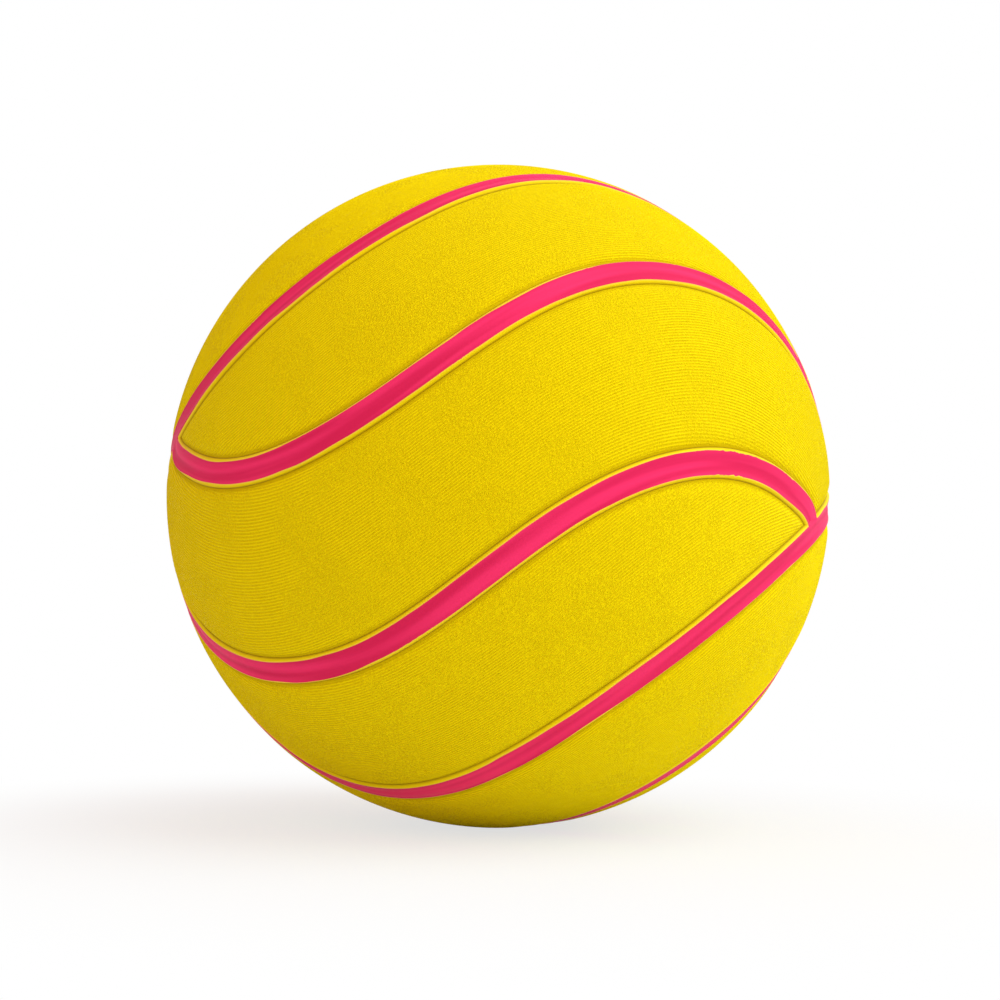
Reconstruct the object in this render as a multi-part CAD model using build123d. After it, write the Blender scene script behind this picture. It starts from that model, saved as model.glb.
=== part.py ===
from build123d import *
import math
import os

import numpy as np

# Water polo ball. The origin is the ball's centre and the layout's two poles lie on the X axis.
# The front is -Y, where a band panel is centred, and the valve is at the back on +Y.
# Latitude is measured from the plane X = 0 towards +X, longitude about X from -Y towards +Z.

# Cover and the layers under it, from the outside in
ball_diameter = 220.0
panel_thickness = 1.3
carcass_thickness = 0.5
winding_thickness = 0.4
bladder_thickness = 0.6
bond_line = 0.05

# Channels between the panels
panel_pairs = 5
strip_width = 9.0
strip_face_width = 7.1
strip_foot_height = 0.25
strip_side_gap = 0.1
strip_end_gap = 0.25
strip_edge_depth = 0.2
strip_dish = 0.3
lip_depth = 0.9
lip_width = 3.0
panel_tip_width = 2.0

# Valve at the back
plug_head_diameter = 9.0
plug_head_gap = 0.3
plug_stem_diameter = 6.0
plug_stem_length = 15.0
plug_stem_clearance = 0.08
plug_end_gap = 0.4
needle_diameter = 2.2
needle_mouth_diameter = 3.6
needle_mouth_depth = 0.7
seat_barrel_diameter = 11.0
seat_end_wall = 2.0
seat_air_hole_diameter = 3.0
seat_flange_diameter = 28.0
seat_flange_thickness = 0.9

# Lower channel of a leaf centred on longitude 0, as latitude and longitude in degrees.
# It starts as a T on the leaf's upper channel and ends at the right pole.
channel_stations = [
    (-66.5, -16.5),
    (-64.0, -24.5),
    (-58.0, -31.3),
    (-50.0, -35.7),
    (-40.0, -37.2),
    (-28.0, -34.8),
    (-14.0, -28.0),
    (0.0, -17.9),
    (15.0, -6.5),
    (30.0, 2.4),
    (45.0, 9.7),
    (60.0, 15.6),
    (75.0, 19.0),
    (90.0, 20.0),
]
samples_per_span = 80
section_spacing = 6.0

pitch = 360 / panel_pairs
ball_radius = ball_diameter / 2
panel_inner = ball_radius - panel_thickness
carcass_outer = panel_inner - bond_line
carcass_inner = carcass_outer - carcass_thickness
winding_outer = carcass_inner - bond_line
winding_inner = winding_outer - winding_thickness
bladder_outer = winding_inner - bond_line
bladder_inner = bladder_outer - bladder_thickness
tail_longitude = channel_stations[-1][1]
recess_half = strip_width / 2 + strip_side_gap
hub_apothem = strip_width / 2 / math.tan(math.pi / panel_pairs)


def on_ball(latitude, longitude):
    """Unit vector at a latitude and longitude, in degrees."""
    lat = math.radians(latitude)
    lon = math.radians(longitude)
    return np.array([math.sin(lat), -math.cos(lat) * math.cos(lon), math.cos(lat) * math.sin(lon)])


def smooth_line(points):
    """Natural cubic curve through points, spaced by chord length, as closely spaced samples."""
    points = np.array(points)
    step = np.linalg.norm(np.diff(points, axis=0), axis=1)
    count = len(points)
    matrix = np.eye(count)
    right = np.zeros_like(points)
    for i in range(1, count - 1):
        matrix[i, i - 1:i + 2] = step[i - 1], 2 * (step[i - 1] + step[i]), step[i]
        right[i] = 6 * ((points[i + 1] - points[i]) / step[i] - (points[i] - points[i - 1]) / step[i - 1])
    bend = np.linalg.solve(matrix, right)
    spans = []
    for i in range(count - 1):
        b = np.linspace(0, 1, samples_per_span, endpoint=i == count - 2)[:, None]
        a = 1 - b
        spans.append(a * points[i] + b * points[i + 1]
                     + step[i]**2 / 6 * ((a**3 - a) * bend[i] + (b**3 - b) * bend[i + 1]))
    return normalised(np.concatenate(spans))


def normalised(vectors):
    return vectors / np.linalg.norm(vectors, axis=1, keepdims=True)


def moved_sideways(line, distance):
    """Line moved sideways over the ball's surface: positive to the left of its direction."""
    ahead = np.gradient(line, axis=0)
    left = normalised(np.cross(line, ahead))
    return normalised(line + left * math.tan(distance / ball_radius))


def turned_line(line, longitude):
    """Line moved on by a longitude."""
    c = math.cos(math.radians(longitude))
    s = math.sin(math.radians(longitude))
    x, y, z = line.T
    return np.stack([x, c * y + s * z, c * z - s * y], 1)


def flipped_line(line):
    """Line turned half round about the Y axis, with its direction kept from left to right."""
    return line[::-1] * (-1, 1, -1)


def clear_of(edge, line, distance):
    """Run of an edge, both ways from its point farthest from a line, up to a distance from that line."""
    apart = ball_radius * np.array([np.linalg.norm(line - point, axis=1).min() for point in edge])
    free = apart >= distance
    middle = int(np.argmax(apart))
    first = middle
    last = middle
    while first > 0 and free[first - 1]:
        first -= 1
    while last < len(edge) - 1 and free[last + 1]:
        last += 1
    run = [edge[first:last + 1]]
    if first > 0:
        share = (apart[first] - distance) / (apart[first] - apart[first - 1])
        run.insert(0, edge[first:first + 1] + share * (edge[first - 1:first] - edge[first:first + 1]))
    if last < len(edge) - 1:
        share = (apart[last] - distance) / (apart[last] - apart[last + 1])
        run.append(edge[last:last + 1] + share * (edge[last + 1:last + 2] - edge[last:last + 1]))
    return normalised(np.concatenate(run))


def length_along(edge):
    """Distance from an edge's start to each of its points, over a ball of the cover's size."""
    return ball_radius * np.concatenate([[0], np.cumsum(np.linalg.norm(np.diff(edge, axis=0), axis=1))])


def part_of(edge, start, end, count):
    """The stretch of an edge between two distances along it, in evenly spaced points."""
    along = length_along(edge)
    wanted = np.linspace(start, end, count)
    return normalised(np.stack([np.interp(wanted, along, axis) for axis in edge.T], 1))


def sections_for(length):
    """Number of sections that a piece of a length is lofted through."""
    return math.ceil(length / section_spacing) + 1


def loft_between(right_edge, left_edge, profile):
    """Solid lofted between two edges. The profile gets the angle that a section spans, in radians."""
    wires = []
    for start, end in zip(right_edge, left_edge):
        middle = start + end
        across = end - start
        half_angle = math.atan2(np.linalg.norm(across), np.linalg.norm(middle))
        plane = Plane((0, 0, 0), x_dir=tuple(across), z_dir=tuple(np.cross(across, middle)))
        wires.append(plane * profile(half_angle))
    return Solid.make_loft(wires)


def polar(radius, angle):
    return (radius * math.sin(angle), radius * math.cos(angle))


def panel_profile(half_angle):
    """Cover panel's section: two arcs about the ball's centre, and lips that round down at both edges."""
    reach = min(lip_width, 0.9 * ball_radius * half_angle)
    top = half_angle - reach / ball_radius
    outer = ball_radius - lip_depth * (1 - reach / lip_width)**2
    shoulder = ball_radius - lip_depth
    right_slope = (math.cos(top), -math.sin(top))
    left_slope = (-math.cos(top), -math.sin(top))
    return Wire([
        ThreePointArc(polar(panel_inner, -half_angle), polar(panel_inner, 0), polar(panel_inner, half_angle)),
        Line(polar(panel_inner, half_angle), polar(shoulder, half_angle)),
        TangentArc(polar(outer, top), polar(shoulder, half_angle), tangent=right_slope),
        ThreePointArc(polar(outer, top), polar(outer, 0), polar(outer, -top)),
        TangentArc(polar(outer, -top), polar(shoulder, -half_angle), tangent=left_slope),
        Line(polar(shoulder, -half_angle), polar(panel_inner, -half_angle)),
    ])


def strip_profile(half_angle):
    """Strip's section: a flat back on the carcass, sloping flanks and a dished face."""
    half = ball_radius * math.tan(half_angle)
    face = half * strip_face_width / strip_width
    foot = panel_inner + strip_foot_height
    edge = ball_radius - strip_edge_depth
    return Wire([
        Line((-half, panel_inner), (half, panel_inner)),
        Line((half, panel_inner), (half, foot)),
        Line((half, foot), (face, edge)),
        ThreePointArc((face, edge), (0, edge - strip_dish), (-face, edge)),
        Line((-face, edge), (-half, foot)),
        Line((-half, foot), (-half, panel_inner)),
    ])


def tip_setback(edge_a, edge_b):
    """Distance from the common tip of two edges at which a panel's blunt tip fits between them."""
    shared = min(length_along(edge_a)[-1], length_along(edge_b)[-1])
    a = part_of(edge_a, 0, shared, len(edge_a))
    b = part_of(edge_b, 0, shared, len(edge_a))
    first = np.argmax(ball_radius * np.linalg.norm(a - b, axis=1) >= panel_tip_width)
    return shared * first / (len(edge_a) - 1)


def turned(shape, longitude):
    """Shape moved on by a longitude."""
    return shape.rotate(Axis.X, -longitude)


def flipped(shape):
    """Shape turned half round about the Y axis, which swaps the poles."""
    return shape.rotate(Axis.Y, 180)


def half_of(line, side):
    """The half of a line on the right pole's side, side 1, or on the left pole's, side -1."""
    return line[side * line[:, 0] > 0]


def make_leaf(lower):
    """Leaf panel centred on longitude 0: it lies between a lower channel and the same one flipped."""
    low_edge = clear_of(moved_sideways(lower, recess_half), flipped_line(lower), recess_half)
    high_edge = flipped_line(low_edge)
    setback = tip_setback(low_edge, high_edge)
    end = length_along(low_edge)[-1] - setback
    count = sections_for(end - setback)
    return loft_between(
        part_of(low_edge, setback, end, count),
        part_of(high_edge, setback, end, count),
        panel_profile,
    )


def make_band(lower):
    """Band panel centred on longitude 0: a middle between two leaves, and a wedge out to each pole."""
    above = turned_line(lower, pitch / 2)
    below = turned_line(lower, -pitch / 2)
    left_tail = half_of(flipped_line(below), -1)
    right_tail = half_of(below, 1)
    top = clear_of(moved_sideways(above, -recess_half), left_tail, recess_half)
    top = clear_of(top, right_tail, recess_half)
    bottom = flipped_line(top)
    joining = half_of(flipped_line(above), 1)
    tail = half_of(moved_sideways(below, recess_half), 1)
    tail = tail[np.argmin(np.linalg.norm(tail - joining[-1], axis=1)):]
    tail = clear_of(clear_of(tail, joining, recess_half), half_of(above, 1), recess_half)
    tail[0] = bottom[-1]
    wedge_length = length_along(tail)[-1]
    middle_length = length_along(top)[-1] - wedge_length
    setback = tip_setback(tail[::-1], top[::-1])
    count = sections_for(wedge_length)
    wedge = loft_between(
        part_of(tail, 0, wedge_length - setback, count),
        part_of(top, middle_length, middle_length + wedge_length - setback, count),
        panel_profile,
    )
    count = sections_for(middle_length)
    middle = loft_between(
        part_of(bottom, wedge_length, wedge_length + middle_length, count),
        part_of(top, 0, middle_length, count),
        panel_profile,
    )
    return (middle + wedge + flipped(wedge)).solid()


def make_strip(lower):
    """Strip in a leaf's lower channel, from the side of the strip it joins to the hub at the right pole."""
    half = strip_width / 2
    joined = half_of(flipped_line(lower), -1)
    from_pole = ball_radius * np.linalg.norm(lower - lower[-1], axis=1)
    run = lower[from_pole >= hub_apothem + strip_end_gap]
    low_edge = clear_of(moved_sideways(run, -half), joined, half + strip_end_gap)
    high_edge = clear_of(moved_sideways(run, half), joined, half + strip_end_gap)
    count = sections_for(length_along(low_edge)[-1])
    return loft_between(
        part_of(low_edge, 0, length_along(low_edge)[-1], count),
        part_of(high_edge, 0, length_along(high_edge)[-1], count),
        strip_profile,
    )


def make_hub():
    """Flat piece at the right pole, with one side for each strip that ends there."""
    top = ball_radius - strip_edge_depth - strip_dish
    outline = RegularPolygon(hub_apothem, panel_pairs, major_radius=False, rotation=-90 - pitch / 2)
    plate = Pos(panel_inner, 0, 0) * Rot(Y=90) * extrude(outline, top - panel_inner)
    return turned(plate, pitch / 2 + tail_longitude)


def arc_about_centre(radius, start, end):
    """Arc about the ball's centre, between two distances from the valve axis."""
    angles = [math.asin(start / radius), math.asin(end / radius)]
    angles.insert(1, sum(angles) / 2)
    return ThreePointArc(*[polar(radius, angle) for angle in angles])


def height_at(radius, distance):
    """Point of a sphere about the ball's centre, at a distance from the valve axis."""
    return (distance, math.sqrt(radius**2 - distance**2))


def turned_round_valve(wire):
    return revolve(make_face(wire), Axis.Y)


def make_layer(outer, inner):
    """Hollow sphere with a hole for the valve seat's barrel."""
    hole = seat_barrel_diameter / 2 + bond_line
    return turned_round_valve(Wire([
        ThreePointArc(height_at(outer, hole), (outer, 0), (0, -outer)),
        Line((0, -outer), (0, -inner)),
        ThreePointArc((0, -inner), (inner, 0), height_at(inner, hole)),
        Line(height_at(inner, hole), height_at(outer, hole)),
    ]))


def make_valve_seat():
    """Flanged boot under the bladder, with a barrel that holds the plug and lets air in at its end."""
    bore = plug_stem_diameter / 2 + plug_stem_clearance
    barrel = seat_barrel_diameter / 2
    flange = seat_flange_diameter / 2
    flange_top = bladder_inner - bond_line
    flange_back = flange_top - seat_flange_thickness
    air_hole = seat_air_hole_diameter / 2
    floor = panel_inner - plug_stem_length - plug_end_gap
    end = floor - seat_end_wall
    return turned_round_valve(Wire([
        arc_about_centre(carcass_outer, bore, barrel),
        Line(height_at(carcass_outer, barrel), height_at(flange_top, barrel)),
        arc_about_centre(flange_top, barrel, flange),
        Line(height_at(flange_top, flange), height_at(flange_back, flange)),
        arc_about_centre(flange_back, flange, barrel),
        Line(height_at(flange_back, barrel), (barrel, end)),
        Line((barrel, end), (air_hole, end)),
        Line((air_hole, end), (air_hole, floor)),
        Line((air_hole, floor), (bore, floor)),
        Line((bore, floor), height_at(carcass_outer, bore)),
    ]))


def make_valve_plug():
    """Insert with a head flush with the cover and a needle channel through its stem."""
    needle = needle_diameter / 2
    mouth = needle_mouth_diameter / 2
    stem = plug_stem_diameter / 2
    head = plug_head_diameter / 2
    end = panel_inner - plug_stem_length
    rim = height_at(ball_radius, mouth)
    channel_top = (needle, rim[1] - needle_mouth_depth)
    return turned_round_valve(Wire([
        Line((needle, end), (stem, end)),
        Line((stem, end), (stem, panel_inner)),
        Line((stem, panel_inner), (head, panel_inner)),
        Line((head, panel_inner), height_at(ball_radius, head)),
        arc_about_centre(ball_radius, head, mouth),
        Line(rim, channel_top),
        Line(channel_top, (needle, end)),
    ]))


def make_pieces():
    """Every piece of the ball, by name."""
    lower = smooth_line([on_ball(*station) for station in channel_stations])
    leaf = make_leaf(lower)
    band = make_band(lower)
    strip = make_strip(lower)
    hub = make_hub()
    head_hole = plug_head_diameter / 2 + plug_head_gap
    mouth = Rot(X=-90) * Cylinder(head_hole, ball_diameter, align=(Align.CENTER, Align.CENTER, Align.MIN))
    valve_leaf = panel_pairs // 2
    valve_longitude = pitch * (valve_leaf + 0.5)
    pieces = {}
    for i in range(panel_pairs):
        centre = pitch * (i + 0.5)
        panel = turned(leaf, centre)
        if i == valve_leaf:
            panel = panel - turned(mouth, valve_longitude - 180)
        pieces[f"leaf_panel_{i + 1}"] = panel
        pieces[f"band_panel_{i + 1}"] = turned(band, pitch * i)
        pieces[f"right_strip_{i + 1}"] = turned(strip, centre)
        pieces[f"left_strip_{i + 1}"] = turned(flipped(strip), centre)
    pieces["right_hub"] = hub
    pieces["left_hub"] = flipped(hub)
    valve_side = {
        "carcass": make_layer(carcass_outer, carcass_inner),
        "winding": make_layer(winding_outer, winding_inner),
        "bladder": make_layer(bladder_outer, bladder_inner),
        "valve_seat": make_valve_seat(),
        "valve_plug": make_valve_plug(),
    }
    for name, piece in valve_side.items():
        pieces[name] = turned(piece, valve_longitude - 180)
    return pieces


os.makedirs("parts", exist_ok=True)
for name, piece in make_pieces().items():
    export_step(piece, f"parts/{name}.step")
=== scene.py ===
import math

import bpy
import numpy as np
from mathutils import Matrix, Vector


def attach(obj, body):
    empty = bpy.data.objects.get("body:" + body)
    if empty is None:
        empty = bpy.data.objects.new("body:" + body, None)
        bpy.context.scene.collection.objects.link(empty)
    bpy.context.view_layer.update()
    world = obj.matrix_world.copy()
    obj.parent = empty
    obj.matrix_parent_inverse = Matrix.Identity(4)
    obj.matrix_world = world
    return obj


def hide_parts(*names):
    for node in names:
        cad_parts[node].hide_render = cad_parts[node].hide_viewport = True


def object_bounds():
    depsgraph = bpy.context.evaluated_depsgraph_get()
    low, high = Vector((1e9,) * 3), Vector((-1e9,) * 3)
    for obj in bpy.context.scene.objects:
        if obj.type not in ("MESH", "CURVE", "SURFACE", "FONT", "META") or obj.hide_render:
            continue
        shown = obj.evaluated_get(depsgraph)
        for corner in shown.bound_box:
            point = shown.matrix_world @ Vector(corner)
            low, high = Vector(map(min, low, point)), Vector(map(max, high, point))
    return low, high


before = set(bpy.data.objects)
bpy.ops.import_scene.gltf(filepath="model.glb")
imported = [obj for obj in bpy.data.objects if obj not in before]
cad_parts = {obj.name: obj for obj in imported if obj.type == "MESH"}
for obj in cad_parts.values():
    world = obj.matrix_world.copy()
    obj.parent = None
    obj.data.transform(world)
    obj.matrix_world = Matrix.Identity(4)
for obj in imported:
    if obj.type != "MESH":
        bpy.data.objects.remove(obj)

cad_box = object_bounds()

# Lengths are in millimetres and angles in degrees. The layout is the one in the part's source:
# the poles lie on the X axis, latitude runs towards +X, and longitude about X from -Y towards +Z.
millimetre = 0.001
ball_radius = -cad_box[0].y / millimetre
panel_thickness = 1.3
panel_pairs = 5
pitch = 360 / panel_pairs

# Channels and the strips in them. The face's dish is uneven, in waves that are counted per metre.
strip_width = 9.0
strip_face_width = 7.1
strip_side_gap = 0.05
strip_foot_depth = 1.25
strip_edge_depth = 0.23
flank_power = 1.25
strip_dish = 0.35
dish_swing = 3.6
dish_rise = 0.8
dish_waves_along = 12.0
dish_waves_across = 240.0
dish_detail = 0.5
strip_overlap = 0.3
strip_tuck = 0.05
strip_row = 1.0
face_columns = 8
rim_columns = 7
hub_rings = 14
hub_spokes_per_side = 8

# Panels: rounded lips, and grip ribs that swing to and fro with the latitude
lip_depth = 1.25
lip_width = 4.2
lip_power = 1.6
rib_spacing = 0.96
rib_height = 0.13
rib_margin = 0.35
margins_to_full_rib = 3
groove_least = 0.2
groove_swing = 1.6
groove_lumps = 420.0
leaf_swing = (37.0, 1.15)
band_swing = (24.0, 1.8)
columns_per_rib = 4
panel_row = 1.2
panel_back_columns = 7
tip_search_reach = 89
tip_search_step = 0.02
past_any_edge = 60
sharp_angle = 42

# Hole for the valve plug's head, at the back
valve_panel = "leaf_panel_3"
valve_hole_radius = 4.8
valve_hole_length = 20.0
valve_hole_sides = 96

# Lower channel of a leaf centred on longitude 0, from its T on the upper one to the right pole
channel_stations = [
    (-66.5, -16.5),
    (-64.0, -24.5),
    (-58.0, -31.3),
    (-50.0, -35.7),
    (-40.0, -37.2),
    (-28.0, -34.8),
    (-14.0, -28.0),
    (0.0, -17.9),
    (15.0, -6.5),
    (30.0, 2.4),
    (45.0, 9.7),
    (60.0, 15.6),
    (75.0, 19.0),
    (90.0, 20.0),
]
samples_per_span = 80
samples_past_joint = 8
distance_batches = 20

# Every piece has its own part of the noise that the patterns are made of
pattern_shift = 7.3

# Camera: the ball's place in the photograph, in pixels of its 1000 x 1000 frame
picture_size = 1000
ball_centre_pixel = (498.3, 496.4)
ball_radius_pixels = 331.7
camera_distance = 4.75 * ball_radius
camera_azimuth = 3.80
camera_elevation = -5.43
camera_roll = -0.78
sensor_width = 36.0

# Light: the fill's strength is the mean over all directions, and its vector says how much comes from where
fill_colour = (1.0, 0.70, 0.64, 1)
fill_strength = 0.71
fill_from = (0.40, -0.50, 0.18)
key_power = 11.4
key_colour = (0.78, 1.0, 1.0)
key_from = (0.64, -0.25, 0.73)
key_size = 1400.0
key_distance = 1300.0

# Floor: its whiteness to the camera grows with the distance from the ball
floor_half = 3000.0
floor_colour = (0.86, 0.94, 0.97, 1)
floor_whiteness = 0.7
floor_fade = (80.0, 250.0)
white = (1, 1, 1, 1)

# Yellow rubber. Scales are lumps per metre, or per rib for the beads.
# Ranges are levels of noise, or millimetres from the panel's edge.
yellow = (0.93, 0.80, 0.001, 1)
# Deep yellow is both the random cloudy tone and the painted shade in the pits between the ribs
deep_yellow = (0.56, 0.38, 0.001, 1)
shadow_yellow = (0.40, 0.27, 0.001, 1)
yellow_sheen = (1.0, 0.88, 0.02, 1)
bead_scale = 1.7
bead_detail = 2.5
dot_range = (0.3, 0.68)
patch_scale = 55.0
patch_range = (0.40, 0.60)
cover_grain_scale = 2300.0
grip_range = (0.4, 0.875)
ridge_height = 0.8
dot_height = 0.35
grain_height = 0.10
grip_relief = 0.23
pit_ridges = 0.75
pit_patches = 0.19
pit_range = (0.42, 0.85)
# Painted shade in the pits between the ribs
pit_painted_shade = 0.42
cloud_scale = 45.0
cloud_tone = 0.08
# Painted shade in the creases along the panel's edge, where the lip meets the strip
crease_shade_range = (-0.1, 1.6)
crease_painted_shade = 0.65
cover_roughness = 0.55
cover_sheen = 0.2
cover_specular = 0.02

# Strips: yellow rubber with pink paint, whose edge wanders and frays in places. Scales are lumps per metre.
# Ranges are levels of noise, or millimetres past the paint's edge.
pink = (0.91, 0.036, 0.168, 1)
deep_pink = (0.62, 0.012, 0.080, 1)
pink_sheen = (1.0, 0.25, 0.45, 1)
# Colour of the painted highlight along the strip's edge
highlight_yellow = (0.98, 0.78, 0.16, 1)
paint_width = 6.9
paint_edge = (-0.06, 0.1)
wander_reach = 1.5
wander_scale = 34.0
fray_reach = 0.9
fray_scale = 600.0
fray_patch_scale = 30.0
fray_patch_range = (0.60, 0.66)
streak_waves_along = 14.0
streak_waves_across = 300.0
streak_detail = 1.5
streak_range = (0.32, 0.66)
streak_tone = 0.75
flank_tone = 0.12
# Painted shade at the strip's foot, in the crease beside the panel
foot_painted_shade = 0.73
foot_reach = 0.5
# Painted highlight: a pale band just past the paint's edge
edge_highlight_tone = 0.35
edge_highlight_start = (0.02, 0.12)
edge_highlight_end = (0.15, 0.45)
strip_grain_scale = 1800.0
paint_height = 0.6
strip_grain_height = 0.3
streak_height = 0.5
paint_relief = 0.05
paint_relief_strength = 0.6
strip_roughness = 0.45
streak_roughness = 0.12
strip_sheen = 0.10
strip_specular = 0.04

# Layers under the cover, and the valve
black_rubber = ((0.06, 0.06, 0.06, 1), (0.035, 0.035, 0.035, 1))
plug_rubber = ((0.05, 0.05, 0.05, 1), (0.025, 0.025, 0.025, 1))
brown_rubber = ((0.42, 0.31, 0.03, 1), (0.30, 0.21, 0.02, 1))
rubber_mottle_scale = 120.0
rubber_grain_scale = 1500.0
rubber_relief = 0.05
rubber_relief_strength = 0.4
pale_thread = (0.84, 0.82, 0.75, 1)
gummed_thread = (0.50, 0.47, 0.38, 1)
thread_directions = ((0.3, 0.2, 0.9), (0.8, -0.5, 0.2), (-0.4, 0.9, 0.1))
threads_per_metre = 900.0
thread_relief = 0.2
thread_relief_strength = 0.8
thread_stain_scale = 80.0

recess_half = strip_width / 2 + strip_side_gap
hub_apothem = strip_width / 2 / math.tan(math.pi / panel_pairs)


class Wire:
    """A socket in a node tree. Arithmetic on it adds Math nodes, and node() adds any other node."""

    def __init__(self, tree, socket=None):
        self.tree = tree
        self.socket = socket

    def node(self, kind, settings={}, inputs={}, output=0):
        """New node: its settings are set first, then its sockets get their values or links."""
        made = self.tree.nodes.new(kind)
        for name, value in settings.items():
            setattr(made, name, value)
        for name, value in inputs.items():
            if isinstance(value, Wire):
                self.tree.links.new(value.socket, made.inputs[name])
            else:
                made.inputs[name].default_value = value
        return Wire(self.tree, made.outputs[output] if made.outputs else None)

    def math(self, operation, *values):
        return self.node("ShaderNodeMath", {"operation": operation}, dict(enumerate(values)))

    def measured(self, operation, other):
        """Number that a Vector Math node makes of this vector and another, such as their distance."""
        inputs = {0: self, 1: other}
        return self.node("ShaderNodeVectorMath", {"operation": operation}, inputs, output="Value")

    def __add__(self, other):
        return self.math("ADD", self, other)

    def __radd__(self, other):
        return self.math("ADD", other, self)

    def __sub__(self, other):
        return self.math("SUBTRACT", self, other)

    def __rsub__(self, other):
        return self.math("SUBTRACT", other, self)

    def __mul__(self, other):
        return self.math("MULTIPLY", self, other)

    def __rmul__(self, other):
        return self.math("MULTIPLY", other, self)

    def __truediv__(self, other):
        return self.math("DIVIDE", self, other)

    def __pow__(self, other):
        return self.math("POWER", self, other)

    def between(self, start, end):
        """Smooth step: 0 at start, 1 at end."""
        settings = {"interpolation_type": "SMOOTHSTEP"}
        inputs = {"Value": self, "From Min": start, "From Max": end}
        return self.node("ShaderNodeMapRange", settings, inputs)

    def wave(self):
        """1 at whole numbers and 0 halfway between them."""
        return 0.5 + 0.5 * self.math("COSINE", self * (2 * math.pi))

    def mixed(self, first, second):
        """Colour that goes from the first to the second as this goes from 0 to 1."""
        settings = {"data_type": "RGBA", "clamp_factor": True}
        return self.node("ShaderNodeMix", settings, {0: self, 6: first, 7: second}, output=2)


def normalised(vectors):
    return vectors / np.linalg.norm(vectors, axis=-1, keepdims=True)


def on_ball(latitude, longitude):
    """Unit vectors at latitudes and longitudes, in radians."""
    level = np.cos(latitude)
    return np.stack([np.sin(latitude), -level * np.cos(longitude), level * np.sin(longitude)], -1)


def smooth_line(points):
    """Natural cubic curve through points, spaced by chord length, as closely spaced samples."""
    step = np.linalg.norm(np.diff(points, axis=0), axis=1)
    count = len(points)
    matrix = np.eye(count)
    right = np.zeros_like(points)
    for i in range(1, count - 1):
        matrix[i, i - 1:i + 2] = step[i - 1], 2 * (step[i - 1] + step[i]), step[i]
        right[i] = 6 * ((points[i + 1] - points[i]) / step[i] - (points[i] - points[i - 1]) / step[i - 1])
    bend = np.linalg.solve(matrix, right)
    spans = []
    for i in range(count - 1):
        b = np.linspace(0, 1, samples_per_span, endpoint=i == count - 2)[:, None]
        a = 1 - b
        spans.append(a * points[i] + b * points[i + 1]
                     + step[i]**2 / 6 * ((a**3 - a) * bend[i] + (b**3 - b) * bend[i + 1]))
    return normalised(np.concatenate(spans))


def moved_sideways(line, distance):
    """Line moved sideways over the ball's surface: positive to the left of its direction."""
    left = normalised(np.cross(line, np.gradient(line, axis=0)))
    return normalised(line + left * math.tan(distance / ball_radius))


def turned(points, longitude):
    """Points moved on by a longitude."""
    c = math.cos(math.radians(longitude))
    s = math.sin(math.radians(longitude))
    x, y, z = points.T
    return np.stack([x, c * y + s * z, c * z - s * y], 1)


def flipped(points):
    """Points turned half round about the Y axis, which swaps the poles."""
    return points * (-1, 1, -1)


def flipped_line(line):
    """Line turned half round about the Y axis, with its direction kept from left to right."""
    return flipped(line)[::-1]


def distance_to(points, line):
    """Distance over the ball's surface from each point to a line's nearest sample."""
    batches = np.array_split(points, distance_batches)
    nearest = np.concatenate([(batch @ line.T).max(1) for batch in batches])
    return ball_radius * np.arccos(np.minimum(nearest, 1))


def evenly_along(line, count):
    """Points on a line, as many as asked for, with equal steps between them."""
    along = np.concatenate([[0], np.cumsum(np.linalg.norm(np.diff(line, axis=0), axis=1))])
    wanted = np.linspace(0, along[-1], count)
    return normalised(np.stack([np.interp(wanted, along, axis) for axis in line.T], 1))


# The first few samples would lie past the middle of the channel that this one joins
channel = smooth_line(on_ball(*np.radians(channel_stations).T))[samples_past_joint:]


def swung(latitude, swing):
    """Longitude of the rib through the middle of a panel, for a panel centred on longitude 0."""
    reach, rate = swing
    return math.radians(reach) * np.sin(rate * latitude)


def across_at(edge, latitude, swing, beyond):
    """How far an edge lies from the panel's middle rib at given latitudes, as an angle."""
    lat = np.arcsin(edge[:, 0])
    lon = np.arctan2(edge[:, 2], -edge[:, 1])
    offset = np.arcsin(np.cos(lat) * np.sin(lon - swung(lat, swing)))
    rising = np.maximum.accumulate(lat) == lat
    return np.interp(latitude, lat[rising], offset[rising], left=beyond, right=beyond)


def panel_rows(low_edges, high_edges, swing):
    """Latitudes of a panel's rows, from tip to tip, and how far each row reaches to either side."""
    def reach(latitude):
        beyond = math.radians(past_any_edge)
        low = np.max([across_at(edge, latitude, swing, -beyond) for edge in low_edges], axis=0)
        high = np.min([across_at(edge, latitude, swing, beyond) for edge in high_edges], axis=0)
        return low, high

    fine = np.radians(np.arange(-tip_search_reach, tip_search_reach, tip_search_step))
    low, high = reach(fine)
    outside = np.where(high <= low)[0]
    first = outside[outside < len(fine) // 2][-1]
    last = outside[outside > len(fine) // 2][0]
    count = int((fine[last] - fine[first]) * ball_radius / panel_row)
    latitude = np.linspace(fine[first], fine[last], count)
    low, high = reach(latitude)
    for tip in (0, -1):
        low[tip] = high[tip] = (low[tip] + high[tip]) / 2
    return latitude, low, high


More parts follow.
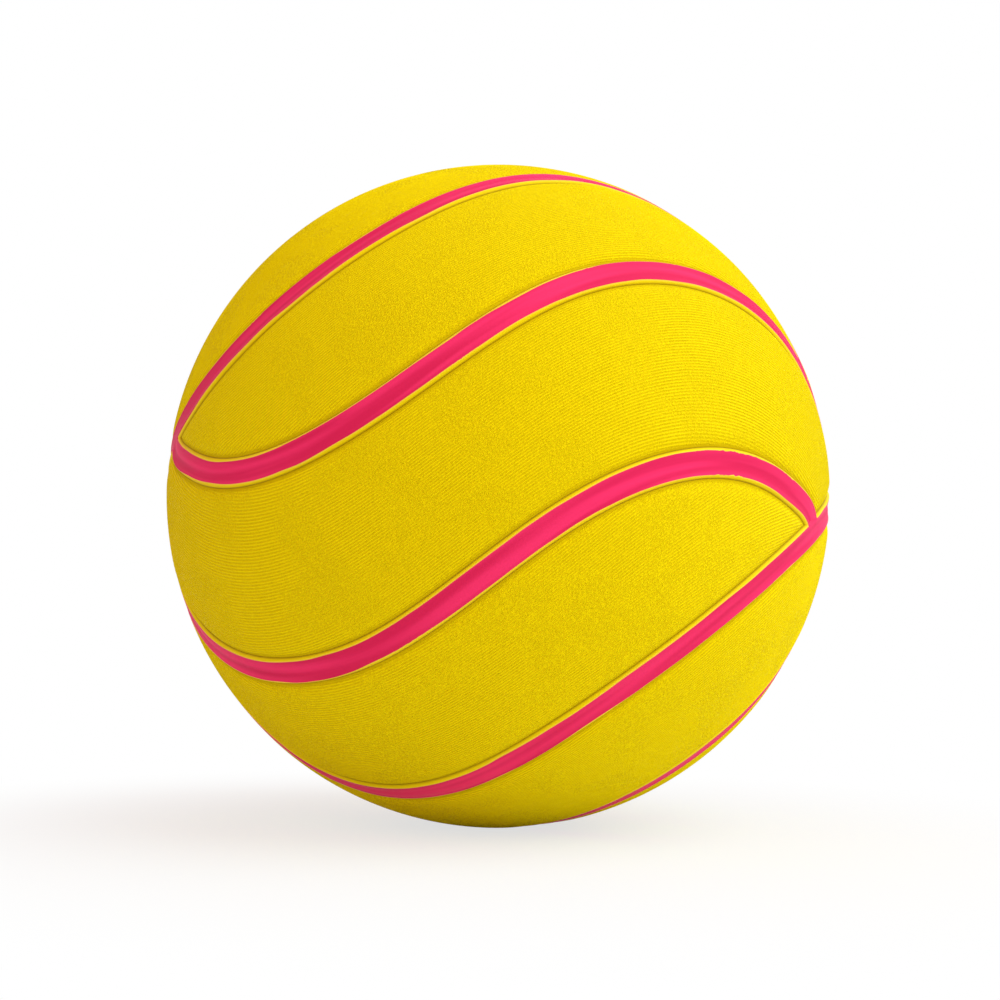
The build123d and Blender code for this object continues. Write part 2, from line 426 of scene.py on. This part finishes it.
def panel_mesh(low_edges, high_edges, lines, swing):
    """Closed panel whose columns follow the ribs: points, faces, and the values that shape it."""
    latitude, low, high = panel_rows(low_edges, high_edges, swing)
    step = rib_spacing / ball_radius / columns_per_rib
    column = np.arange(math.floor(low.min() / step), math.ceil(high.max() / step) + 1)
    first = np.floor(low / step).astype(int) - column[0]
    last = np.ceil(high / step).astype(int) - column[0]
    last[[0, -1]] = first[[0, -1]]
    offset = np.clip(column[None, :] * step, low[:, None], high[:, None])
    back = low[:, None] + (high - low)[:, None] * np.linspace(0, 1, panel_back_columns)

    def points_at(offsets):
        lat = np.broadcast_to(latitude[:, None], offsets.shape)
        turn = np.arcsin(np.clip(np.sin(offsets) / np.cos(lat), -1, 1))
        return on_ball(lat, swung(lat, swing) + turn).reshape(-1, 3)

    front_index = np.arange(offset.size).reshape(offset.shape)
    picked = np.clip(np.arange(len(column))[None, :], first[:, None], last[:, None])
    front_index = np.take_along_axis(front_index, picked, 1)
    back_index = offset.size + np.arange(back.size).reshape(back.shape)
    back_index[[0, -1]] = back_index[[0, -1], :1]
    rows = np.arange(len(latitude))
    low_side = front_index[rows, first], back_index[:, 0]
    high_side = front_index[rows, last], back_index[:, -1]
    faces = grid_faces(front_index) + grid_faces(back_index[:, ::-1])
    faces += grid_faces(np.stack(low_side[::-1], 1)) + grid_faces(np.stack(high_side, 1))

    front = points_at(offset)
    points = np.concatenate([ball_radius * front, (ball_radius - panel_thickness) * points_at(back)])
    unused = np.zeros(back.size)
    values = {
        "edge_gap": np.concatenate([distance_to(front, lines) - recess_half, unused]) * millimetre,
        "rib_turn": np.concatenate([offset.ravel() / (step * columns_per_rib), unused]),
        "rib_along": np.concatenate([np.repeat(latitude, len(column)) / (step * columns_per_rib), unused]),
        "front": np.concatenate([np.ones(offset.size), unused]),
    }
    return compact(points, faces, values)


def grid_faces(index):
    """Faces of a grid of point numbers, rows towards the right pole and columns up."""
    corners = np.stack([index[:-1, :-1], index[1:, :-1], index[1:, 1:], index[:-1, 1:]], -1).reshape(-1, 4)
    faces = [list(dict.fromkeys(face)) for face in corners.tolist()]
    return [face for face in faces if len(face) > 2]


def compact(points, faces, values):
    """The same mesh without its unused points."""
    used = np.unique(np.concatenate([np.array(face) for face in faces]))
    new_number = np.zeros(len(points), int)
    new_number[used] = np.arange(len(used))
    faces = [new_number[face].tolist() for face in faces]
    return points[used], faces, {name: value[used] for name, value in values.items()}


def leaf_mesh():
    """Leaf panel centred on longitude 0, between a channel and the same one flipped."""
    low = moved_sideways(channel, recess_half)
    lines = np.concatenate([channel, flipped_line(channel)])
    return panel_mesh([low], [flipped_line(low)], lines, leaf_swing)


def band_mesh():
    """Band panel centred on longitude 0: two leaves bound its middle, and their tails its ends."""
    above = turned(channel, pitch / 2)
    below = turned(channel, -pitch / 2)
    top = moved_sideways(above, -recess_half)
    tail = moved_sideways(below, recess_half)
    lines = np.concatenate([above, below, flipped_line(above), flipped_line(below)])
    return panel_mesh([flipped_line(top), tail], [top, flipped_line(tail)], lines, band_swing)


def strip_lines():
    """The channels that a leaf's lower strip meets: its own, the one it joins, and those at its pole."""
    at_pole = [turned(channel, pitch * i) for i in range(panel_pairs)]
    return np.concatenate([flipped_line(channel)] + at_pole)


def strip_mesh():
    """Strip in a leaf's lower channel, from the side of the one it joins to the hub at the right pole."""
    from_pole = distance_to(channel, channel[-1:])
    run = channel[from_pole >= hub_apothem - strip_overlap]
    joined = flipped_line(channel)
    length = ball_radius * np.linalg.norm(np.diff(run, axis=0), axis=1).sum()
    count = int(length / strip_row)
    face = strip_face_width / 2
    rim = np.linspace(face, strip_width / 2, rim_columns)
    half = np.concatenate([np.linspace(0, face, face_columns)[:-1], rim])
    sides = np.concatenate([-half[:0:-1], half])
    columns = []
    for side in sides:
        column = moved_sideways(run, side)
        outside = distance_to(column, joined[joined[:, 0] < 0]) >= strip_width / 2 - strip_overlap
        columns.append(evenly_along(column[outside], count))
    front = np.stack(columns, 1)
    sunk = np.zeros(front.shape[:2])
    sunk[[0, -1]] = strip_tuck
    side = np.broadcast_to(sides, sunk.shape)
    along = np.broadcast_to(np.linspace(0, length, count)[:, None], sunk.shape)
    return closed_strip(front, sunk, side, along)


def closed_strip(front, sunk, side, along):
    """Grid of points on the ball, closed by a back on the carcass."""
    rows, columns = front.shape[:2]
    back = front[:, [0, columns // 2, -1]]
    front_index = np.arange(rows * columns).reshape(rows, columns)
    back_index = front_index.size + np.arange(rows * 3).reshape(rows, 3)
    faces = grid_faces(front_index) + grid_faces(back_index[:, ::-1])
    faces += grid_faces(np.stack([back_index[:, 0], front_index[:, 0]], 1))
    faces += grid_faces(np.stack([front_index[:, -1], back_index[:, -1]], 1))
    faces.append(front_index[0].tolist() + back_index[0, ::-1].tolist())
    faces.append(front_index[-1, ::-1].tolist() + back_index[-1].tolist())
    front = front.reshape(-1, 3)
    back = back.reshape(-1, 3)
    points = np.concatenate([
        (ball_radius - sunk.reshape(-1, 1)) * front,
        (ball_radius - panel_thickness) * back,
    ])
    unused = np.zeros(len(back))
    values = {
        "channel_gap": distance_to(np.concatenate([front, back]), strip_lines()) * millimetre,
        "side": np.concatenate([side.ravel(), unused]) * millimetre,
        "along": np.concatenate([along.ravel(), unused]) * millimetre,
        "front": np.concatenate([np.ones(len(front)), unused]),
    }
    return points, faces, values


def hub_mesh():
    """Five-sided piece at the right pole, where the strips meet."""
    spokes = hub_spokes_per_side * panel_pairs
    side_angle = 2 * math.pi / panel_pairs
    facing = math.radians(channel_stations[-1][1] + pitch / 2)
    angle = np.linspace(0, 2 * math.pi, spokes, endpoint=False) + facing
    from_side = (angle - facing + side_angle / 2) % side_angle - side_angle / 2
    reach = (hub_apothem - strip_overlap / 2) / np.cos(from_side)
    share = np.linspace(0, 1, hub_rings)[:, None]
    lean = share * reach / ball_radius
    front = on_ball(math.pi / 2 - lean, np.broadcast_to(angle, lean.shape)).reshape(-1, 3)
    front_index = np.arange(hub_rings * spokes).reshape(hub_rings, spokes)
    front_index[0] = 0
    back_centre = front_index.size
    back_index = front_index.size + 1 + np.arange(spokes)
    closed = np.arange(spokes + 1) % spokes
    faces = grid_faces(front_index[::-1][:, closed])
    faces += grid_faces(np.stack([back_index[closed], front_index[-1][closed]], 0))
    faces += grid_faces(np.stack([np.full(spokes + 1, back_centre), back_index[closed]], 0))
    sunk = np.where(front_index == front_index[-1], strip_tuck, 0).reshape(-1, 1)
    back = np.concatenate([front[:1], front[-spokes:]])
    points = np.concatenate([(ball_radius - sunk) * front, (ball_radius - panel_thickness) * back])
    both = np.concatenate([front, back])
    values = {
        "channel_gap": distance_to(both, turned(strip_lines(), pitch / 2)) * millimetre,
        "side": both[:, 1] * ball_radius * millimetre,
        "along": both[:, 2] * ball_radius * millimetre,
        "front": np.concatenate([np.ones(len(front)), np.zeros(len(back))]),
    }
    return compact(points, faces, values)


def new_tree(name, sizes):
    """Geometry Nodes tree with a mesh, named sizes and a material going in, and a mesh coming out."""
    tree = bpy.data.node_groups.new(name, "GeometryNodeTree")
    tree.interface.new_socket("Mesh", in_out="INPUT", socket_type="NodeSocketGeometry")
    for size in sizes:
        tree.interface.new_socket(size, in_out="INPUT", socket_type="NodeSocketFloat")
    tree.interface.new_socket("Finish", in_out="INPUT", socket_type="NodeSocketMaterial")
    tree.interface.new_socket("Mesh", in_out="OUTPUT", socket_type="NodeSocketGeometry")
    source = tree.nodes.new("NodeGroupInput")
    inputs = {socket.name: Wire(tree, socket) for socket in source.outputs}
    return tree, Wire(tree), inputs


def end_tree(start, mesh, finish):
    """Last nodes of every tree: a smooth plain mesh with its material."""
    mesh = start.node("GeometryNodeSetShadeSmooth", {}, {"Geometry": mesh})
    mesh = start.node("GeometryNodeRealizeInstances", {}, {"Geometry": mesh})
    mesh = start.node("GeometryNodeSetMaterial", {}, {"Geometry": mesh, "Material": finish})
    start.node("NodeGroupOutput", {}, {0: mesh})


def relief_tree(name, sizes, depth):
    """Tree that sinks a mesh's front towards the ball's centre by a depth."""
    tree, start, inputs = new_tree(name, sizes)
    place = start.node("GeometryNodeInputPosition")
    outward = start.node("ShaderNodeVectorMath", {"operation": "NORMALIZE"}, {0: place})
    sink = -1 * depth(start, inputs, place) * named_value(start, "front")
    shift = start.node("ShaderNodeVectorMath", {"operation": "SCALE"}, {0: outward, "Scale": sink})
    mesh = start.node("GeometryNodeSetPosition", {}, {"Geometry": inputs["Mesh"], "Offset": shift})
    end_tree(start, mesh, inputs["Finish"])
    return tree


def hole_tree(name, sizes):
    """Tree that cuts a round hole along +Y, and keeps the values of the mesh that it cuts."""
    tree, start, inputs = new_tree(name, sizes)
    tool = start.node("GeometryNodeMeshCylinder", {}, {
        "Vertices": valve_hole_sides, "Radius": inputs["Hole radius"], "Depth": inputs["Hole length"]})
    place = start.node("ShaderNodeCombineXYZ", {}, {"Y": inputs["Hole middle"]})
    tool = start.node("GeometryNodeTransform", {}, {
        "Geometry": tool, "Translation": place, "Rotation": (math.pi / 2, 0, 0)})
    cut = start.node("GeometryNodeMeshBoolean", {"operation": "DIFFERENCE", "solver": "EXACT"}, {
        "Mesh 1": inputs["Mesh"], "Mesh 2": tool})
    for kept in ("edge_gap", "rib_turn", "rib_along", "front", "number"):
        nearest = start.node("GeometryNodeSampleNearestSurface", {"data_type": "FLOAT"}, {
            "Mesh": inputs["Mesh"], "Value": named_value(start, kept)})
        cut = start.node("GeometryNodeStoreNamedAttribute", {"data_type": "FLOAT", "domain": "POINT"}, {
            "Geometry": cut, "Name": kept, "Value": nearest})
    end_tree(start, cut, inputs["Finish"])
    return tree


def named_value(start, name):
    """A mesh's own value, such as its distance from the channel, in a Geometry Nodes tree."""
    return start.node("GeometryNodeInputNamedAttribute", {"data_type": "FLOAT"}, {"Name": name})


def panel_depth(start, inputs, place):
    """Lips that round down to the channel, and uneven grooves between the ribs."""
    gap = named_value(start, "edge_gap")
    near = 1 - gap / inputs["Lip width"]
    lip = inputs["Lip depth"] * near.math("MAXIMUM", near, 0)**lip_power
    uneven = start.node("ShaderNodeTexNoise", {}, {"Vector": place, "Scale": groove_lumps, "Detail": 1.0})
    groove = 1 - named_value(start, "rib_turn").wave()
    field = gap.between(inputs["Rib margin"], inputs["Rib margin"] * margins_to_full_rib)
    return lip + inputs["Rib height"] * groove * field * (groove_least + groove_swing * uneven)


def strip_depth(start, inputs, place):
    """A flank that slopes down from the face's edge to the strip's foot, and an unevenly dished face."""
    gap = named_value(start, "channel_gap")
    half = inputs["Strip width"] / 2
    face = inputs["Face width"] / 2
    out = (gap - face) / (half - face)
    out = out.math("MINIMUM", out.math("MAXIMUM", out, 0), 1)
    flank = inputs["Edge depth"] + (inputs["Foot depth"] - inputs["Edge depth"]) * out**flank_power
    inside = 1 - gap.math("MINIMUM", gap / face, 1)**2
    lengthwise = start.node("ShaderNodeCombineXYZ", {}, {
        "X": named_value(start, "along") * dish_waves_along,
        "Y": named_value(start, "side") * dish_waves_across,
        "Z": named_value(start, "number"),
    })
    uneven = start.node("ShaderNodeTexNoise", {}, {
        "Vector": lengthwise, "Scale": 1.0, "Detail": dish_detail})
    return flank + inputs["Dish"] * inside * (dish_swing * uneven - dish_rise)


def add_mesh(name, mesh, number):
    """Object made of points, faces and values, with the piece's number as one more value."""
    points, faces, values = mesh
    data = bpy.data.meshes.new(name)
    data.from_pydata(points * millimetre, [], faces)
    for value_name, value in values.items():
        data.attributes.new(value_name, "FLOAT", "POINT").data.foreach_set("value", value)
    numbers = np.full(len(points), pattern_shift * number)
    data.attributes.new("number", "FLOAT", "POINT").data.foreach_set("value", numbers)
    piece = bpy.data.objects.new(name, data)
    bpy.context.collection.objects.link(piece)
    return piece


def shape(piece, tree, sizes, finish):
    """Gives a piece the mesh that a tree makes of its own."""
    modifier = piece.modifiers.new(tree.name, "NODES")
    modifier.node_group = tree
    given = {size: length * millimetre for size, length in sizes.items()} | {"Finish": finish}
    for socket in tree.interface.items_tree:
        if socket.name in given:
            modifier[socket.identifier] = given[socket.name]
    graph = bpy.context.evaluated_depsgraph_get()
    plain = piece.data
    shaped = bpy.data.meshes.new_from_object(
        piece.evaluated_get(graph), preserve_all_data_layers=True, depsgraph=graph)
    piece.modifiers.remove(modifier)
    piece.data = shaped
    bpy.data.meshes.remove(plain)
    shaped.set_sharp_from_angle(angle=math.radians(sharp_angle))


def cover(piece, name):
    """Makes a piece ride on the ball and stand for the CAD node of a name."""
    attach(piece, "ball")
    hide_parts(name)


def material(name):
    """New material, and a wire to build its nodes from."""
    made = bpy.data.materials.new(name)
    made.use_nodes = True
    made.node_tree.nodes.clear()
    return made, Wire(made.node_tree)


def rubber(start, colour, roughness, normal, sheen=white, sheen_weight=0.0, specular=0.3):
    """Shader and output of a rubber's material."""
    shader = start.node("ShaderNodeBsdfPrincipled", {}, {
        "Base Color": colour,
        "Roughness": roughness,
        "Specular IOR Level": specular,
        "Sheen Weight": sheen_weight,
        "Sheen Roughness": 0.5,
        "Sheen Tint": sheen,
        "Normal": normal,
    })
    start.node("ShaderNodeOutputMaterial", {}, {"Surface": shader})


def noise(start, scale, detail=2.0):
    """Noise over the piece, in metres: the scale is the number of lumps in one metre."""
    place = start.node("ShaderNodeTexCoord", output="Object")
    return start.node("ShaderNodeTexNoise", {}, {"Vector": place, "Scale": scale, "Detail": detail})


def bump(start, height, distance, strength=1.0):
    """Normal of a surface with a fine relief, whose full height is the distance in millimetres."""
    inputs = {"Height": height, "Distance": distance * millimetre, "Strength": strength}
    return start.node("ShaderNodeBump", {}, inputs)


def piece_value(start, name):
    """A piece's own value, such as its distance from the channel, in a shader."""
    settings = {"attribute_type": "GEOMETRY", "attribute_name": name}
    return start.node("ShaderNodeAttribute", settings, output="Fac")


def cover_rubber():
    """Yellow moulded rubber: beaded ribs, a fine grain, and painted shade in the pits between the ribs and
    in the creases at the panel's edge.
    """
    made, start = material("cover_rubber")
    gap = piece_value(start, "edge_gap") / millimetre
    turn = piece_value(start, "rib_turn")
    along = piece_value(start, "rib_along")
    lengthwise = start.node("ShaderNodeCombineXYZ", {}, {
        "X": turn, "Y": along, "Z": piece_value(start, "number")})
    bead = start.node("ShaderNodeTexNoise", {}, {
        "Vector": lengthwise, "Scale": bead_scale, "Detail": bead_detail})
    grain = noise(start, cover_grain_scale)
    ribbed = gap.between(*grip_range)
    dots = bead.between(*dot_range)
    lined = noise(start, patch_scale, 1.0).between(*patch_range)
    ridge = turn.wave() * (dots + lined * (1 - dots))
    height = ribbed * (ridge_height * ridge + dot_height * dots + grain_height * grain)
    raised = pit_ridges * ridge + bead - pit_patches * lined
    # Painted shade: the pits between the ribs are darkened in colour
    pit_shade = ribbed * (1 - raised.between(*pit_range))
    colour = (pit_painted_shade * pit_shade + cloud_tone * noise(start, cloud_scale, 3.0)).mixed(yellow, deep_yellow)
    # Painted shade: the panel darkens in colour towards the crease at its edge
    colour = (crease_painted_shade * (1 - gap.between(*crease_shade_range))).mixed(colour, shadow_yellow)
    normal = bump(start, height, grip_relief)
    roughness = cover_roughness + 0.1 * grain
    rubber(start, colour, roughness, normal, yellow_sheen, cover_sheen, cover_specular)
    return made


def channel_rubber():
    """Yellow strip with its face painted pink: a wandering, frayed paint edge, lengthwise streaks, painted
    shade at the strip's foot and a painted highlight just past the paint's edge.
    """
    made, start = material("channel_rubber")
    gap = piece_value(start, "channel_gap") / millimetre
    wander = wander_reach * (noise(start, wander_scale) - 0.5)
    frayed = noise(start, fray_patch_scale).between(*fray_patch_range)
    fray = fray_reach * (noise(start, fray_scale, 1.0) - 0.5) * frayed
    beyond = gap + wander + fray - paint_width / 2
    painted = 1 - beyond.between(*paint_edge)
    lengthwise = start.node("ShaderNodeCombineXYZ", {}, {
        "X": piece_value(start, "along") * streak_waves_along,
        "Y": piece_value(start, "side") * streak_waves_across,
        "Z": piece_value(start, "number"),
    })
    streak = start.node("ShaderNodeTexNoise", {}, {
        "Vector": lengthwise, "Scale": 1.0, "Detail": streak_detail})
    face = (streak_tone * streak.between(*streak_range)).mixed(pink, deep_pink)
    # Painted shade: the flank darkens towards the strip's foot, in the crease
    foot = gap.between(strip_width / 2 - foot_reach, strip_width / 2)
    bare = (flank_tone + foot_painted_shade * foot).mixed(yellow, shadow_yellow)
    # Painted highlight: a pale band just past the paint's edge, on the strip's top edge
    edge_highlight = edge_highlight_tone * beyond.between(*edge_highlight_start) * (1 - beyond.between(*edge_highlight_end))
    bare = edge_highlight.mixed(bare, highlight_yellow)
    grain = noise(start, strip_grain_scale)
    height = paint_height * painted + strip_grain_height * grain + streak_height * streak
    normal = bump(start, height, paint_relief, paint_relief_strength)
    roughness = strip_roughness + streak_roughness * streak
    colour = painted.mixed(bare, face)
    rubber(start, colour, roughness, normal, pink_sheen, strip_sheen, strip_specular)
    return made


def plain_rubber(name, colours, roughness):
    """Rubber with a soft mottle of a light and a dark tone, and a fine grain."""
    made, start = material(name)
    light, dark = colours
    mottle = noise(start, rubber_mottle_scale, 3.0)
    grain = noise(start, rubber_grain_scale)
    normal = bump(start, grain, rubber_relief, rubber_relief_strength)
    rubber(start, mottle.mixed(dark, light), roughness + 0.1 * grain, normal)
    return made


def wound_thread():
    """White nylon thread, gummed down in crossing layers."""
    made, start = material("nylon_winding")
    place = start.node("ShaderNodeTexCoord", output="Object")
    turns = []
    for direction in thread_directions:
        level = place.measured("DOT_PRODUCT", direction)
        turns.append((level * threads_per_metre).wave())
    weave = turns[0].math("MAXIMUM", turns[0].math("MAXIMUM", turns[0], turns[1]), turns[2])
    shown = weave * 0.8 + 0.2 * noise(start, thread_stain_scale)
    colour = shown.mixed(gummed_thread, pale_thread)
    normal = bump(start, weave, thread_relief, thread_relief_strength)
    rubber(start, colour, 0.6 + 0.1 * weave, normal)
    return made


def add_floor():
    """Pale floor that keeps the ball's shadow and looks white to the camera."""
    half = floor_half * millimetre
    low = cad_box[0].z
    data = bpy.data.meshes.new("floor")
    corners = [(-half, -half, low), (half, -half, low), (half, half, low), (-half, half, low)]
    data.from_pydata(corners, [], [(0, 1, 2, 3)])
    floor = bpy.data.objects.new("floor", data)
    bpy.context.collection.objects.link(floor)
    made, start = material("floor_white")
    matt = start.node("ShaderNodeBsdfDiffuse", {}, {"Color": floor_colour})
    bright = start.node("ShaderNodeEmission", {}, {"Color": white, "Strength": 1.0})
    place = start.node("ShaderNodeTexCoord", output="Object")
    away = place.measured("DISTANCE", (0, 0, low)) / millimetre
    whiteness = floor_whiteness + (1 - floor_whiteness) * away.between(*floor_fade)
    share = whiteness * shown_background(start)
    seen = start.node("ShaderNodeMixShader", {}, {0: share, 1: matt, 2: bright})
    start.node("ShaderNodeOutputMaterial", {}, {"Surface": seen})
    data.materials.append(made)


def shown_background(start):
    """1 for rays that show the background: to the camera, in a reflection or through glass."""
    rays = [start.node("ShaderNodeLightPath", output=name)
            for name in ("Is Camera Ray", "Is Glossy Ray", "Is Transmission Ray")]
    return rays[0].math("MINIMUM", rays[0] + rays[1] + rays[2], 1)


def add_light():
    """A large soft light to the upper right, and a warm fill from all round, more of it from that side."""
    world = bpy.data.worlds.new("studio")
    bpy.context.scene.world = world
    world.use_nodes = True
    world.node_tree.nodes.clear()
    start = Wire(world.node_tree)
    look = start.node("ShaderNodeNewGeometry", output="Incoming")
    level = fill_strength * (1 - look.measured("DOT_PRODUCT", fill_from))
    fill = start.node("ShaderNodeBackground", {}, {"Color": fill_colour, "Strength": level})
    shown = start.node("ShaderNodeBackground", {}, {"Color": white, "Strength": 1.0})
    both = start.node("ShaderNodeMixShader", {}, {0: shown_background(start), 1: fill, 2: shown})
    start.node("ShaderNodeOutputWorld", {}, {"Surface": both})

    lamp = bpy.data.lights.new("key", "AREA")
    lamp.shape = "DISK"
    lamp.size = key_size * millimetre
    lamp.energy = key_power
    lamp.color = key_colour
    key = bpy.data.objects.new("key", lamp)
    bpy.context.collection.objects.link(key)
    towards = Vector(key_from).normalized()
    key.location = towards * key_distance * millimetre
    key.rotation_euler = towards.to_track_quat("Z", "Y").to_euler()


def add_camera():
    """Camera that puts the ball where the photograph has it."""
    focal_pixels = ball_radius_pixels * math.sqrt((camera_distance / ball_radius)**2 - 1)
    azimuth = math.radians(camera_azimuth)
    elevation = math.radians(camera_elevation)
    back = Vector((math.sin(azimuth) * math.cos(elevation),
                   -math.cos(azimuth) * math.cos(elevation),
                   math.sin(elevation)))
    upright = back.to_track_quat("Z", "Y").to_matrix()
    turn = upright @ Matrix.Rotation(math.radians(-camera_roll), 3, "Z")
    pixel = camera_distance / focal_pixels * millimetre
    right = picture_size / 2 - ball_centre_pixel[0]
    up = ball_centre_pixel[1] - picture_size / 2
    place = back * camera_distance * millimetre + turn @ Vector((right, up, 0)) * pixel
    data = bpy.data.cameras.new("camera")
    data.sensor_width = sensor_width
    data.lens = focal_pixels / picture_size * sensor_width
    camera = bpy.data.objects.new("camera", data)
    bpy.context.collection.objects.link(camera)
    camera.matrix_world = Matrix.Translation(place) @ turn.to_4x4()
    bpy.context.scene.camera = camera


def add_cover():
    """Every panel, strip and hub of the cover."""
    panel_sizes = {
        "Lip depth": lip_depth,
        "Lip width": lip_width,
        "Rib height": rib_height,
        "Rib margin": rib_margin,
    }
    strip_sizes = {
        "Strip width": strip_width,
        "Face width": strip_face_width,
        "Foot depth": strip_foot_depth,
        "Edge depth": strip_edge_depth,
        "Dish": strip_dish,
    }
    hole_sizes = {
        "Hole radius": valve_hole_radius,
        "Hole length": valve_hole_length,
        "Hole middle": ball_radius,
    }
    panel_tree = relief_tree("panel_relief", panel_sizes, panel_depth)
    strip_tree = relief_tree("strip_relief", strip_sizes, strip_depth)
    valve_tree = hole_tree("valve_hole", hole_sizes)
    panel_finish = cover_rubber()
    strip_finish = channel_rubber()
    leaf = leaf_mesh()
    band = band_mesh()
    strip = strip_mesh()
    hub = hub_mesh()

    def panel(name, mesh, longitude, number):
        points, faces, values = mesh
        piece = add_mesh(f"{name}_relief", (turned(points, longitude), faces, values), number)
        shape(piece, panel_tree, panel_sizes, panel_finish)
        if name == valve_panel:
            shape(piece, valve_tree, hole_sizes, panel_finish)
        cover(piece, name)

    def channel_piece(name, mesh, longitude, number, at_left):
        points, faces, values = mesh
        points = turned(flipped(points) if at_left else points, longitude)
        piece = add_mesh(f"{name}_relief", (points, faces, values), number)
        shape(piece, strip_tree, strip_sizes, strip_finish)
        cover(piece, name)

    for i in range(panel_pairs):
        centre = pitch * (i + 0.5)
        panel(f"leaf_panel_{i + 1}", leaf, centre, i)
        panel(f"band_panel_{i + 1}", band, pitch * i, i)
        channel_piece(f"right_strip_{i + 1}", strip, centre, i, at_left=False)
        channel_piece(f"left_strip_{i + 1}", strip, centre, i + 0.5, at_left=True)
    channel_piece("right_hub", hub, 0, 0, at_left=False)
    channel_piece("left_hub", hub, 0, 1, at_left=True)


def finish_inner_parts():
    """Materials of the layers under the cover and of the valve."""
    butyl = plain_rubber("butyl_rubber", black_rubber, roughness=0.55)
    finishes = {
        "carcass": plain_rubber("carcass_rubber", brown_rubber, roughness=0.6),
        "winding": wound_thread(),
        "bladder": butyl,
        "valve_seat": butyl,
        "valve_plug": plain_rubber("valve_rubber", plug_rubber, roughness=0.45),
    }
    for name, finish in finishes.items():
        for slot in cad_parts[name].material_slots:
            slot.material = finish


add_cover()
finish_inner_parts()
add_floor()
add_light()
add_camera()
bpy.context.scene.view_settings.view_transform = "Standard"
